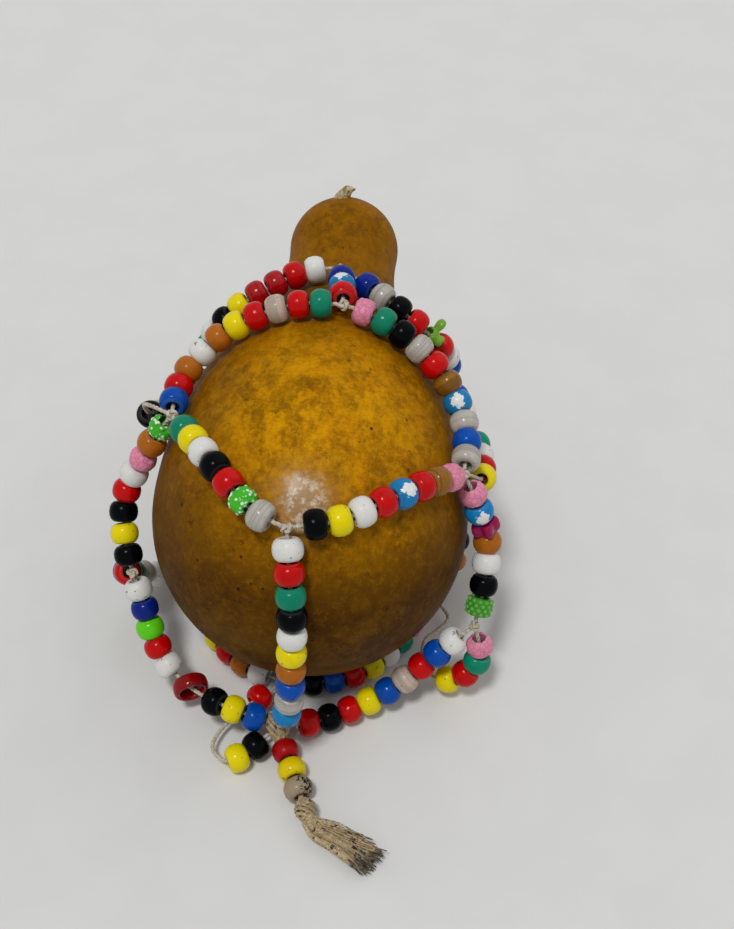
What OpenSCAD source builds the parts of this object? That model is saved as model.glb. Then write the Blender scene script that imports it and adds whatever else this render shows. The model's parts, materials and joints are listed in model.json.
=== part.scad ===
// Gourd rattle in a loose net of threaded pony beads, lying on its side.
// Frame: +Z up, +Y along the neck, origin on the surface below the belly's centre.

/* [Gourd] */
// Radius of the round belly
belly_r = 50; // [44:1:56]
// Radius of the long arc from the belly to the shoulder
shoulder_r = 118; // [100:1:140]
// Radius of the hollow curve between shoulder and neck
waist_r = 60; // [50:1:75]
// Radius of the round neck end
neck_r = 19.5; // [16:0.5:23]
// Distance from the belly's centre to the neck end's centre
neck_reach = 108; // [102:1:116]
// Thickness of the dried shell
shell_t = 3.5; // [2.5:0.1:5]
// Rise of the gourd's axis towards the neck, in degrees
lean = 12; // [10:0.5:14]

/* [Stem] */
// Radius of the stem stub where it grows out of the neck end
stem_r = 3.6; // [2.5:0.1:4.2]
// Length of the stem stub
stem_len = 6; // [3:0.5:10]
// Radius of the flat scar that the stem stub stands on
scar_r = 4.6; // [4.4:0.1:5.5]
// Angle of the stalk from the axis of the neck
stem_tilt = 48; // [30:1:60]

/* [Seeds] */
// Number of dried seeds that rattle inside
seed_count = 14; // [6:1:20]
// Length of a seed
seed_len = 9; // [6:0.5:11]
// Thickness of a seed
seed_t = 3; // [2:0.25:4]

/* [Beads] */
// Outer diameter of a pony bead
bead_d = 9.2; // [8.6:0.1:9.6]
// Length of a pony bead along its bore
bead_len = 5.9; // [5.4:0.1:6.1]
// Diameter of a bead's bore
bore_d = 3.6; // [3.2:0.1:4]
// Radius of the rounded side of a bead
bead_round = 3.1; // [3.06:0.02:3.6]
// Free space between two beads on a strand
bead_play = 1; // [0.9:0.05:1.4]
// Clearance between the beads and the shell
shell_gap = 0.4; // [0.3:0.05:0.8]

/* [Twine] */
// Diameter of the cotton twine
twine_d = 2.2; // [1.8:0.1:2.4]
// Radius of the knots where strands cross
knot_r = 2; // [1.9:0.1:2.4]
// Radius of the knot that gathers the strands
gather_r = 4.4; // [4:0.1:4.6]
// Free space between a crossing knot and the first bead
knot_play = 0.3; // [0.2:0.05:0.8]
// Depth by which twine runs into a knot
knot_bite = 0.4; // [0.2:0.1:0.8]

/* [Special beads] */
// Outer diameter of the wide ring bead
ring_d = 11.4; // [10.4:0.1:11.8]
// Bore of the wide ring bead
ring_bore = 7.4; // [7:0.1:7.8]
// Length of the wide ring bead
ring_len = 4.4; // [3.6:0.1:4.8]
// Radius of one petal of the flower bead
petal_r = 1.8; // [1.6:0.05:1.9]
// Distance of the petals from the flower's bore
petal_reach = 2.8; // [2.6:0.05:2.9]
// Length of the flower bead
flower_len = 5; // [4:0.1:6]
// Reach of the charm's two petals from its bore
charm_reach = 7; // [5.5:0.1:8]
// Radius of a petal's round end
charm_petal_r = 1.5; // [1.2:0.1:1.8]
// Radius of the charm's hub
charm_hub_r = 3.2; // [3:0.1:3.6]
// Thickness of the charm
charm_t = 3; // [2:0.1:4]

/* [Tassel] */
// Length of the frayed end
fringe_len = 28; // [18:1:32]
// Radius of the frayed end at its tip
fringe_r = 6; // [4.5:0.1:7]
// Radius of the knot above the frayed end
tassel_knot_r = 3.6; // [3.2:0.1:4.2]

/* [Hidden] */
$fn = 48;

bead_r = bead_d / 2;
bead_pitch = bead_len + bead_play;
ride = bead_r + shell_gap;
spline_steps = 6;
tube_sides = 8;

// The gourd's axis and the directions across it
centre = [0, 0, belly_r];
axis_dir = [0, cos(lean), sin(lean)];
top_dir = [0, -sin(lean), cos(lean)];

// Outline of the gourd as tangent arcs, in [radius, distance along the axis]
shoulder_c = [belly_r - shoulder_r, 0];
neck_c = [0, neck_reach];
waist_c = meeting(shoulder_c, shoulder_r + waist_r, neck_c, waist_r + neck_r);
function meeting(a, ra, b, rb) =
    let (d = norm(b - a))
    let (e = (b - a) / d)
    let (along = (ra * ra - rb * rb + d * d) / (2 * d))
    let (across = sqrt(ra * ra - along * along))
    a + along * e + across * [e.y, -e.x];
function shoulder_end(grow) =
    (shoulder_c + (waist_c - shoulder_c) * (shoulder_r + grow) / (shoulder_r + waist_r)).y;
function waist_end(grow) =
    (neck_c + (waist_c - neck_c) * (neck_r + grow) / (neck_r + waist_r)).y;

// Radius of the surface that lies outside the shell by grow, at a distance along the axis
function skin(s, grow) =
    s < 0 ? sqrt(max(0, pow(belly_r + grow, 2) - s * s))
    : s < shoulder_end(grow) ? shoulder_c.x + sqrt(pow(shoulder_r + grow, 2) - s * s)
    : s < waist_end(grow) ? waist_c.x - sqrt(pow(waist_r - grow, 2) - pow(s - waist_c.y, 2))
    : sqrt(max(0, pow(neck_r + grow, 2) - pow(s - neck_c.y, 2)));

// A point at bead height over the shell: turn from the top, distance along the axis
function over(turn, s, grow = ride) =
    centre + axis_dir * s + skin(s, grow) * (top_dir * cos(turn) + [sin(turn), 0, 0]);

// A point at bead height over the surface that the rattle lies on
function lying(x, y) = [x, y, bead_r];

// The nearest point that is clear of the shell and of the surface below
function cleared(p) =
    let (q = p - centre)
    let (s = q * axis_dir)
    let (w = q * top_dir)
    let (reach = norm([q.x, w]))
    let (need = skin(s, ride))
    let (out = reach < need ? p + (need / reach - 1) * (q - s * axis_dir) : p)
    [out.x, out.y, max(out.z, bead_r)];

// Smooth path through control points
function spline_point(a, b, c, d, t) =
    0.5 * (2 * b + (c - a) * t + (2 * a - 5 * b + 4 * c - d) * t * t + (3 * b - a - 3 * c + d) * t * t * t);
function path(p) =
    let (n = len(p))
    [for (i = [0 : n - 2]) for (k = [0 : spline_steps - (i == n - 2 ? 0 : 1)])
        cleared(spline_point(
            i == 0 ? 2 * p[0] - p[1] : p[i - 1], p[i], p[i + 1],
            i == n - 2 ? 2 * p[n - 1] - p[n - 2] : p[i + 2], k / spline_steps))];
function lengths(p) =
    [for (i = 0, d = 0; i < len(p); d = d + norm(p[min(i + 1, len(p) - 1)] - p[i]), i = i + 1) d];
function span_at(cum, d, i = 0) =
    i >= len(cum) - 2 || cum[i + 1] >= d ? i : span_at(cum, d, i + 1);
function along(p, cum, d) =
    let (i = span_at(cum, d))
    let (t = (d - cum[i]) / max(0.001, cum[i + 1] - cum[i]))
    p[i] + (p[i + 1] - p[i]) * t;
function unit(v) = v / norm(v);

// Crossings of the net, from the collar to the gathering knot
collar_top = over(6, 77);
collar_right = over(95, 60);
collar_left = over(-95, 60);
collar_below = over(180, 64);
row1_top = over(9, 52);
row1_right = over(95, 36);
row1_left = over(-95, 36);
row1_below = lying(0, 46);
row2_left = over(-50, 13);
row2_right = over(59, 3);
row2_below_right = lying(38, 8);
row2_below_left = lying(-38, 8);
row3_top = over(-1, -28.5);
row3_right = [54, -24, 31];
row3_left = [-54.8, -19.4, 39.6];
row3_below = lying(-6, -33);
gather = [-6, -50.5, 6.5];

// Strands: control points, colour letters in order, far knot, twine group, bare twine at both ends
strands = [
    [[collar_top, over(28, 64), over(49, 56), over(75, 57), collar_right],
        "NHBR_RWC", knot_r, "collar", [4.6, 0]],
    [[collar_right, over(120, 63), over(150, 66), collar_below],
        "CYWAPBT", knot_r, "collar", [0, 0]],
    [[collar_below, over(210, 66), over(240, 63), collar_left],
        "YSNWRBH", knot_r, "collar", [0, 0]],
    [[collar_left, over(-75, 57), over(-55, 60), over(-35, 68), over(-15, 75), collar_top],
        "PSWBYDDRW", knot_r, "collar", [0, 2]],
    [[row1_top, collar_top], "RTN", knot_r, "upper", [0, 2]],
    [[row1_right, collar_right], "WC", knot_r, "upper", [3, 3]],
    [[row1_left, collar_left], "RS", knot_r, "upper", [3, 3]],
    [[row1_below, [0, 60, 15], collar_below], "WNAR", knot_r, "upper", [0, 0]],
    [[row1_top, over(-7, 51), over(-23, 48), over(-39, 43), over(-51, 35), over(-54, 25), row2_left],
        "SRERYAWARC", knot_r, "upper", [0, 0]],
    [[row1_top, over(28, 47.5), over(47, 39), over(58.5, 30), over(62, 18), row2_right],
        "PSBHROTHCH", knot_r, "upper", [0, 0]],
    [[row1_left, over(-84, 33), over(-70, 22) + [-2, 0, 1], over(-59.5, 17.8) + [-5.2, 0, 4.2], row2_left],
        "RYHB", knot_r, "upper", [0, 15]],
    [[row1_right, over(89, 31), over(78.5, 12.5), row2_right], "SWRY", knot_r, "upper", [0, 12]],
    [[row1_right, over(108, 33), over(120, 28), [47, 18, 13], row2_below_right],
        "CRWYSBA", knot_r, "upper", [0, 7]],
    [[row1_left, over(-108, 33), over(-120, 28), [-47, 18, 13], row2_below_left],
        "YBRHWCS", knot_r, "upper", [0, 7]],
    [[row1_below, lying(22, 39), lying(34, 26), row2_below_right], "RYBWCPS", knot_r, "upper", [0, 0]],
    [[row1_below, lying(-22, 39), lying(-34, 26), row2_below_left], "WSRNAYB", knot_r, "upper", [0, 0]],
    [[row2_left, over(-36, 0), over(-25, -12), over(-13, -24), row3_top],
        "SYWBRFH", knot_r, "middle", [5, 0]],
    [[row3_top, over(16, -25), over(28, -18), over(42, -8), row2_right],
        "BYWRTROP", knot_r, "middle", [0, 0]],
    [[row2_left, over(-65.5, 7.5), [-57.9, -1.5, 58.5], [-58, -10.5, 49.3], row3_left],
        "FAPWRBYB", knot_r, "middle", [0, 0]],
    [[row2_right, over(73, -2), [56, -6, 53], [56, -15, 42], row3_right],
        "PT_AWB_", knot_r, "middle", [1, 0]],
    [[row3_right, [56.2, -26.5, 23.5], [55.5, -28, 16.5], [51.5, -29, 10.5], [45.5, -28.5, 6.5],
        lying(39.5, -24.5), lying(38.5, -13), lying(46, -3), row2_below_right],
        "PSRY", knot_r, "middle", [1, 41]],
    [[row3_left, [-60, -11, 29], [-61, -1, 15], lying(-52, 7), row2_below_left],
        "RCYSHW", knot_r, "middle", [1, 12]],
    [[row3_below, lying(6, -32), lying(20, -25.5), lying(31, -12), row2_below_right],
        "BCRYWSPAR", knot_r, "middle", [0, 0]],
    [[row3_below, lying(-20, -27.5), lying(-33, -14), row2_below_left],
        "WARYCBP", knot_r, "middle", [3, 0]],
    [[row3_top, over(1, -40), over(3, -47), over(4, -52), [0, -58, 34], [-3, -57, 19], gather],
        "WRSBWYACHT", gather_r, "lower", [0, 15]],
    [[row3_left, [-51.6, -24, 31], [-48.6, -29.5, 21.3], [-42.6, -36.2, 13.4],
        [-32.6, -43.4, 10.9], [-20.5, -49.3, 12.5], gather],
        "WNGRW__BYC", gather_r, "lower", [0, 0]],
    [[row3_right, [47, -27, 25.5], [39, -30.5, 17.5], [29, -36, 10], [18, -41, 5.5], [6, -47, 5], gather],
        "WCRECYRBR", gather_r, "lower", [1, 0]],
    [[row3_below, lying(-15.3, -41.8), lying(-22, -50), lying(-26, -57.5), lying(-21.5, -63.5),
        lying(-14.5, -60), gather],
        "R____YB", gather_r, "lower", [4, 1]]
];

// Places of the special beads: strand, bead
charm_place = [0, 4];
flower_place = [19, 2];
beehive_place = [19, 6];
ring_place = [25, 5];

// Each strand as [path, running length, first bead's distance, number of beads]
threads = [for (t = strands)
    let (p = path(t[0]))
    let (cum = lengths(p))
    let (whole = cum[len(cum) - 1])
    let (lead = knot_r + knot_play + t[4][0])
    let (tail = t[2] + knot_play + t[4][1])
    let (count = floor((whole - lead - tail) / bead_pitch))
    let (slack = (whole - lead - tail - count * bead_pitch) / 2)
    [p, cum, lead + slack, count]];
function bead_centre(thread, i) = along(thread[0], thread[1], thread[2] + (i + 0.5) * bead_pitch);
function bead_axis(thread, i) =
    unit(along(thread[0], thread[1], thread[2] + (i + 1) * bead_pitch)
        - along(thread[0], thread[1], thread[2] + i * bead_pitch));
function letter(k, i) = strands[k][1][i % len(strands[k][1])];

// Twine follows the gaps between the beads, so it runs straight through each bore
function bare_twine(t, from, to) =
    let (n = ceil((to - from) / bead_pitch))
    [for (i = [0 : 1 : n - 1]) along(t[0], t[1], from + (to - from) * i / n)];
function twine_route(k) =
    let (t = threads[k])
    let (last_gap = t[2] + t[3] * bead_pitch)
    let (twine_end = t[1][len(t[1]) - 1] - strands[k][2] + knot_bite)
    concat(
        bare_twine(t, knot_r - knot_bite, t[2]),
        [for (i = [0 : t[3] - 1]) along(t[0], t[1], t[2] + i * bead_pitch)],
        bare_twine(t, last_gap, twine_end),
        [along(t[0], t[1], twine_end)]);

module tube(route, r) {
    n = len(route);
    rings = [for (i = [0 : n - 1])
        let (dir = unit(route[min(i + 1, n - 1)] - route[max(i - 1, 0)]))
        let (side = unit(cross(dir, abs(dir.z) > 0.8 ? [1, 0, 0] : [0, 0, 1])))
        let (lift = cross(side, dir))
        for (a = [0 : tube_sides - 1])
            route[i] + r * (side * cos(360 * a / tube_sides) + lift * sin(360 * a / tube_sides))];
    walls = [for (i = [0 : n - 2]) for (a = [0 : tube_sides - 1])
        let (b = (a + 1) % tube_sides)
        [i * tube_sides + a, i * tube_sides + b, (i + 1) * tube_sides + b, (i + 1) * tube_sides + a]];
    first = [for (a = [tube_sides - 1 : -1 : 0]) a];
    last = [for (a = [0 : tube_sides - 1]) (n - 1) * tube_sides + a];
    polyhedron(points = rings, faces = concat(walls, [first, last]), convexity = 4);
}

// Turns +Z to a direction
module aim(dir) {
    rotate([0, acos(dir.z), atan2(dir.y, dir.x)]) children();
}

module at_bead(k, i) {
    translate(bead_centre(threads[k], i)) aim(bead_axis(threads[k], i)) children();
}

module pony_bead() {
    rotate_extrude() intersection() {
        translate([bead_r - bead_round, 0]) circle(r = bead_round);
        translate([bore_d / 2, -bead_len / 2]) square([bead_r, bead_len]);
    }
}

// A pony bead cut to eight flat sides
module cut_bead() {
    intersection() {
        pony_bead();
        cylinder(r = bead_r, h = bead_len, center = true, $fn = 8);
    }
}

// Every bead of the net that has one colour letter
module strung(mark) {
    for (k = [0 : len(strands) - 1])
        for (i = [0 : threads[k][3] - 1])
            if (letter(k, i) == mark)
                at_bead(k, i) {
                    if (mark == "F") cut_bead();
                    else pony_bead();
                }
}

module twine_group(group) {
    for (k = [0 : len(strands) - 1])
        if (strands[k][3] == group)
            tube(twine_route(k), twine_d / 2);
}

// Half outline of the gourd, grown or shrunk along its normals
module outline(grow) {
    intersection() {
        circle(r = belly_r + grow);
        translate([0, -2 * belly_r]) square([2 * belly_r, 2 * belly_r]);
    }
    intersection() {
        translate(shoulder_c) circle(r = shoulder_r + grow, $fn = 96);
        square([2 * belly_r, shoulder_end(grow)]);
    }
    difference() {
        translate([0, shoulder_end(grow)]) square([waist_c.x, waist_end(grow) - shoulder_end(grow)]);
        translate(waist_c) circle(r = waist_r - grow, $fn = 96);
    }
    intersection() {
        translate(neck_c) circle(r = neck_r + grow);
        translate([0, neck_reach - neck_r / 2]) square([2 * neck_r, 2 * neck_r]);
    }
}

// From the upright gourd to the way it lies
module laid() {
    translate(centre) rotate([lean - 90, 0, 0]) children();
}

// The stalk's scar, a small flat on the round end of the neck, off its axis
scar_rise = sqrt(neck_r * neck_r - scar_r * scar_r);
module on_scar() {
    translate([0, 0, neck_reach]) rotate([stem_tilt, 0, 0]) translate([0, 0, scar_rise]) children();
}

module gourd_shell() {
    color("goldenrod") laid() difference() {
        rotate_extrude($fn = 96) outline(0);
        rotate_extrude($fn = 96) outline(-shell_t);
        on_scar() cylinder(r = neck_r, h = neck_r);
    }
}

// A short dried stalk with a flared foot and a torn end
module stem_stub() {
    stalk_r = stem_narrow * stem_r;
    foot = stem_foot * stem_len;
    color("tan") laid() on_scar() difference() {
        union() {
            cylinder(r1 = stem_r, r2 = stalk_r, h = foot);
            translate([0, 0, foot]) cylinder(r = stalk_r, h = stem_len - foot);
        }
        translate([0, 0, stem_len]) rotate([0, stem_tear, 0])
            translate([-stem_len, -stem_len, 0]) cube(2 * stem_len);
    }
}
stem_narrow = 0.7;
stem_foot = 0.4;
stem_tear = 24;

// Flat almond-shaped seeds that lie on the inside of the belly
golden = 137.5;
seed_spread = 9;
seed_lean = 20;
module dried_seeds() {
    seed_round = (seed_len * seed_len / 4 + seed_t * seed_t / 4) / seed_t;
    wall = belly_r - shell_t - shell_gap;
    color("wheat") translate(centre)
        for (i = [0 : seed_count - 1])
            rotate([-seed_lean, 0, 0]) rotate([0, 180 - seed_spread * sqrt(i + 0.5), i * golden])
                translate([0, 0, sqrt(wall * wall - seed_len * seed_len / 16) - seed_t / 2])
                    rotate_extrude($fn = 32) intersection() {
                        translate([0, seed_round - seed_t / 2]) circle(r = seed_round);
                        translate([0, seed_t / 2 - seed_round]) circle(r = seed_round);
                        translate([0, -seed_t]) square([seed_len, 2 * seed_t]);
                    }
}

module collar_twine() { color("ivory") twine_group("collar"); }
module upper_twine() { color("ivory") twine_group("upper"); }
module middle_twine() { color("ivory") twine_group("middle"); }
module lower_twine() { color("ivory") twine_group("lower"); }

module net_knots() {
    color("ivory")
        for (p = [collar_top, collar_right, collar_left, collar_below,
                row1_top, row1_right, row1_left, row1_below,
                row2_left, row2_right, row2_below_right, row2_below_left,
                row3_top, row3_right, row3_left, row3_below])
            translate(p) sphere(r = knot_r);
}

module gather_knot() { color("burlywood") translate(gather) sphere(r = gather_r); }

module red_beads() { color("red") strung("R"); }
module dark_red_beads() { color("darkred") strung("D"); }
module white_beads() { color("white") strung("W"); }
module yellow_beads() { color("gold") strung("Y"); }
module black_beads() { color("black") strung("B"); }
module cobalt_beads() { color("mediumblue") strung("C"); }
module navy_beads() { color("navy") strung("N"); }
module turquoise_beads() { color("deepskyblue") strung("T"); }
module sea_green_beads() { color("seagreen") strung("S"); }
module lime_beads() { color("lime") strung("G"); }
module caramel_beads() { color("peru") strung("A"); }
module brown_beads() { color("saddlebrown") strung("O"); }
module pink_beads() { color("pink") strung("P"); }
module pearl_beads() { color("silver") strung("H"); }
module peach_beads() { color("peachpuff") strung("E"); }
module glitter_beads() { color("limegreen") strung("F"); }

// A wide ring that takes two places and hangs askew on its twine
ring_slant = 32;
module ring_bead() {
    thread = threads[ring_place[0]];
    before = bead_centre(thread, ring_place[1]);
    after = bead_centre(thread, ring_place[1] + 1);
    wall = (ring_d - ring_bore) / 2;
    color("red") translate((before + after) / 2) rotate([0, 0, -ring_slant]) aim(unit(after - before))
        rotate_extrude() intersection() {
            translate([ring_bore / 2 + wall - ring_len / 2, 0]) circle(r = ring_len / 2);
            translate([ring_bore / 2, -ring_len / 2]) square([wall, ring_len]);
        }
}

module flower_bead() {
    color("deeppink") at_bead(flower_place[0], flower_place[1])
        linear_extrude(flower_len, center = true) difference() {
            union() {
                circle(r = petal_reach);
                for (a = [0 : 72 : 359]) rotate(a) translate([petal_reach, 0]) circle(r = petal_r);
            }
            circle(d = bore_d);
        }
}

// Three stacked rings that narrow to both ends
module beehive_bead() {
    coil = bead_len / 3;
    taper = 0.3 * coil;
    color("limegreen") at_bead(beehive_place[0], beehive_place[1])
        rotate_extrude() difference() {
            for (i = [-1 : 1])
                translate([0, i * coil - coil / 2]) {
                    square([bead_r - coil / 2 - taper * abs(i), coil]);
                    translate([bead_r - coil / 2 - taper * abs(i), coil / 2]) circle(d = coil);
                }
            translate([0, -bead_len]) square([bore_d / 2, 2 * bead_len]);
        }
}

// A hub with two rounded petals that point away from the shell
charm_spread = 42;
charm_at = bead_centre(threads[charm_place[0]], charm_place[1]);
charm_along = bead_axis(threads[charm_place[0]], charm_place[1]);
charm_x = unit(charm_along * charm_along.z - [0, 0, 1]);
charm_out = charm_at - centre - axis_dir * ((charm_at - centre) * axis_dir);
charm_turn = atan2(charm_out * cross(charm_along, charm_x), charm_out * charm_x);
module petal_charm() {
    color("lime") at_bead(charm_place[0], charm_place[1]) rotate(charm_turn)
        linear_extrude(charm_t, center = true) difference() {
            union() {
                circle(r = charm_hub_r);
                for (side = [-1, 1]) rotate(side * charm_spread) {
                    translate([0, -charm_petal_r]) square([charm_reach - charm_petal_r, 2 * charm_petal_r]);
                    translate([charm_reach - charm_petal_r, 0]) circle(r = charm_petal_r);
                }
            }
            circle(d = bore_d);
        }
}

// The tassel hangs from the gathering knot and lies on the surface
tassel_dir = unit([9, -20, 0]);
tassel_start = [gather.x, gather.y, bead_r];
tassel_first = gather_r + shell_gap + knot_play;
tassel_end = tassel_first + 3 * bead_pitch + knot_play;
module on_tassel(d) { translate(tassel_start + tassel_dir * d) aim(tassel_dir) children(); }

module tassel_twine() {
    color("burlywood") on_tassel(gather_r + shell_gap)
        cylinder(d = twine_d, h = tassel_end - gather_r - shell_gap + knot_bite);
}
module tassel_red_bead() { color("red") on_tassel(tassel_first + 0.5 * bead_pitch) pony_bead(); }
module tassel_yellow_bead() { color("gold") on_tassel(tassel_first + 1.5 * bead_pitch) pony_bead(); }
module tassel_speckled_bead() { color("rosybrown") on_tassel(tassel_first + 2.5 * bead_pitch) pony_bead(); }
module tassel_knot() {
    color("burlywood") on_tassel(tassel_end + tassel_knot_r) sphere(r = tassel_knot_r);
}

// Frayed fibres, spread to a blunt cone that lies on the surface
module tassel_fringe() {
    root = 2 * tassel_knot_r / 3;
    at = tassel_start + tassel_dir * (tassel_end + 2 * tassel_knot_r - knot_bite);
    turn = atan2(tassel_dir.y, tassel_dir.x) + fringe_bend;
    rise = atan((fringe_r - root) / fringe_len);
    color("burlywood") translate([at.x, at.y, bead_r]) rotate([0, 90 - rise * fringe_lift, turn])
        cylinder(r1 = root, r2 = fringe_r, h = fringe_len);
}
fringe_bend = 30;
fringe_lift = 0.7;

gourd_shell();
stem_stub();
dried_seeds();
collar_twine();
upper_twine();
middle_twine();
lower_twine();
net_knots();
gather_knot();
red_beads();
dark_red_beads();
white_beads();
yellow_beads();
black_beads();
cobalt_beads();
navy_beads();
turquoise_beads();
sea_green_beads();
lime_beads();
caramel_beads();
brown_beads();
pink_beads();
pearl_beads();
peach_beads();
glitter_beads();
ring_bead();
flower_bead();
beehive_bead();
petal_charm();
tassel_twine();
tassel_red_bead();
tassel_yellow_bead();
tassel_speckled_bead();
tassel_knot();
tassel_fringe();
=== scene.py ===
import json
import math
import random
from math import cos, radians, sin, sqrt

import bmesh
import bpy
from mathutils import Matrix, Vector, noise

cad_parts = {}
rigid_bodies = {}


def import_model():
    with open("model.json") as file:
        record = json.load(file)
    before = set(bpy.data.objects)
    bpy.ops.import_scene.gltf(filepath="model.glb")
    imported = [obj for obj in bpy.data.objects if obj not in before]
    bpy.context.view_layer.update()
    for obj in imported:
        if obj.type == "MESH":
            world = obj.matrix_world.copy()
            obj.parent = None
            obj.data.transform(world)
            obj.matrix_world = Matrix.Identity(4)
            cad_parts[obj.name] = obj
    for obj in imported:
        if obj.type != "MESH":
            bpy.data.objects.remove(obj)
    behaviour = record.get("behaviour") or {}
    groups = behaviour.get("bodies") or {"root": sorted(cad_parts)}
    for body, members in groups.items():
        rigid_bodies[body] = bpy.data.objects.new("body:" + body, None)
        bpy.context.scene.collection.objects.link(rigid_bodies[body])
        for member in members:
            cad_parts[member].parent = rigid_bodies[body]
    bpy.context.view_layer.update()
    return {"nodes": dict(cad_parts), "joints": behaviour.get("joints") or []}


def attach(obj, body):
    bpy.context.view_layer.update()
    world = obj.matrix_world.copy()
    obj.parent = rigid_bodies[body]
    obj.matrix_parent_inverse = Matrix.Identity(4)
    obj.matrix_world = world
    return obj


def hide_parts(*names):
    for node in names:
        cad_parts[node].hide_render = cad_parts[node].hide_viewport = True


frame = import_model()
mm = 0.001
fullTurn = 2 * math.pi
upward = Vector((0, 0, 1))
towardCamera = Vector((0.0, -0.55, 0.83))  # up and toward the camera: the side where the beads' painted highlight patches sit
scene = bpy.context.scene
joints = {j["name"]: j for j in frame["joints"]}
print("frame loaded:", len(frame["nodes"]), "nodes")


# node trees: sums on sockets, and one method for every other node
def sums(kind):  # an operator, and its reflected form
    return (lambda a, b=0.0: a.calc(kind, a, b)), (lambda a, b: a.calc(kind, b, a))


class Sock:
    def __init__(self, kit, out):
        self.kit = kit
        self.out = out

    def calc(self, kind, a, b):
        return self.kit.node("ShaderNodeMath", {"operation": kind}, {0: a, 1: b})

    __add__, __radd__ = sums("ADD")
    __sub__, __rsub__ = sums("SUBTRACT")
    __mul__, __rmul__ = sums("MULTIPLY")
    __truediv__, __rtruediv__ = sums("DIVIDE")
    __pow__, __rpow__ = sums("POWER")
    __gt__, __lt__ = sums("GREATER_THAN")
    cos = sums("COSINE")[0]
    sin = sums("SINE")[0]
    size = sums("ABSOLUTE")[0]
    sign = sums("SIGN")[0]
    most = sums("MAXIMUM")[0]


class Kit:
    def __init__(self, tree):
        self.tree = tree

    def node(self, kind, settings=None, sockets=None, out=0):
        made = self.tree.nodes.new(kind)
        for key, value in (settings or {}).items():
            setattr(made, key, value)
        for key, value in (sockets or {}).items():
            if isinstance(value, Sock):
                self.tree.links.new(value.out, made.inputs[key])
            else:
                made.inputs[key].default_value = value
        return Sock(self, made.outputs[out])

    def vec(self, kind, a, b, out=0):
        return self.node("ShaderNodeVectorMath", {"operation": kind}, {0: a, 1: b}, out)

    def split(self, v):
        first = self.node("ShaderNodeSeparateXYZ", {}, {0: v})
        return [Sock(self, part) for part in first.out.node.outputs]

    def join(self, x, y, z):
        return self.node("ShaderNodeCombineXYZ", {}, {0: x, 1: y, 2: z})


def linear(colour):  # a colour as seen on a screen, 0 to 255
    part = lambda c: c / 12.92 if c <= 0.04045 else ((c + 0.055) / 1.055) ** 2.4
    return (*(part(c / 255) for c in colour), 1.0)


class Finish(Kit):
    def __init__(self, name, colour, **fixed):
        self.mat = bpy.data.materials.new(name)
        self.mat.use_nodes = True
        super().__init__(self.mat.node_tree)
        self.face = self.tree.nodes["Principled BSDF"]
        for key, value in fixed.items():
            self.face.inputs[key].default_value = value
        self.place = self.node("ShaderNodeTexCoord", {}, {}, "Object")
        self.base = linear(colour)

    def feed(self, name, value):
        self.tree.links.new(value.out, self.face.inputs[name])

    def paint(self, mask, colour):  # one more colour over the base, where the mask is 1
        self.base = self.node("ShaderNodeMix", {"data_type": "RGBA", "clamp_factor": True},
                              {0: mask, 6: self.base, 7: linear(colour)}, 2)

    def grain(self, scale, detail=3.0, rough=0.55, at=None, warp=0.0):
        return self.node("ShaderNodeTexNoise", {}, {
            "Vector": at or self.place, "Scale": scale, "Detail": detail, "Roughness": rough,
            "Distortion": warp})

    def cells(self, scale, at=None, feature="F1"):
        return self.node("ShaderNodeTexVoronoi", {"feature": feature},
                         {"Vector": at or self.place, "Scale": scale})

    def rise(self, value, low, high):  # 0 at low, 1 at high, soft between
        return self.node("ShaderNodeMapRange", {"interpolation_type": "SMOOTHSTEP"},
                         {"Value": value, "From Min": low, "From Max": high})

    def attr(self, name, out):
        return self.node("ShaderNodeAttribute", {"attribute_name": name}, {}, out)

    def done(self, rough, height, distance, strength):
        self.feed("Base Color", self.base)
        self.feed("Roughness", rough)
        relief = {"Height": height, "Distance": distance, "Strength": strength}
        self.feed("Normal", self.node("ShaderNodeBump", {}, relief))
        return self.mat


# pieces: plain meshes, each on its own body
def addObject(name, data):
    made = bpy.data.objects.new(name, data)
    scene.collection.objects.link(made)
    return made


def addPiece(name, mesh, mat):
    mesh.materials.clear()
    mesh.materials.append(mat)
    return addObject(name, mesh)


def settle(piece, body, slot, *replaced):
    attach(piece, body)
    if replaced:
        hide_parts(*replaced)


def newTree(name, sizes):  # a node tree with these named inputs, and one for the finish
    tree = bpy.data.node_groups.new(name, "GeometryNodeTree")
    kinds = {float: "NodeSocketFloat", int: "NodeSocketInt"}
    tree.interface.new_socket(name="Geometry", in_out="INPUT", socket_type="NodeSocketGeometry")
    for key, value in sizes.items():
        made = tree.interface.new_socket(name=key, in_out="INPUT", socket_type=kinds[type(value)])
        made.default_value = value
    tree.interface.new_socket(name="Finish", in_out="INPUT", socket_type="NodeSocketMaterial")
    tree.interface.new_socket(name="Geometry", in_out="OUTPUT", socket_type="NodeSocketGeometry")
    kit = Kit(tree)
    start = tree.nodes.new("NodeGroupInput")
    return kit, {s.name: Sock(kit, s) for s in start.outputs if s.name}


def endTree(kit, given, geometry):
    done = kit.node("GeometryNodeRealizeInstances", {}, {0: geometry})
    done = kit.node("GeometryNodeSetShadeSmooth", {}, {0: done})
    done = kit.node("GeometryNodeSetMaterial", {}, {0: done, "Material": given["Finish"]})
    end = kit.tree.nodes.new("NodeGroupOutput")
    kit.tree.links.new(done.out, end.inputs[0])
    return kit.tree


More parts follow.
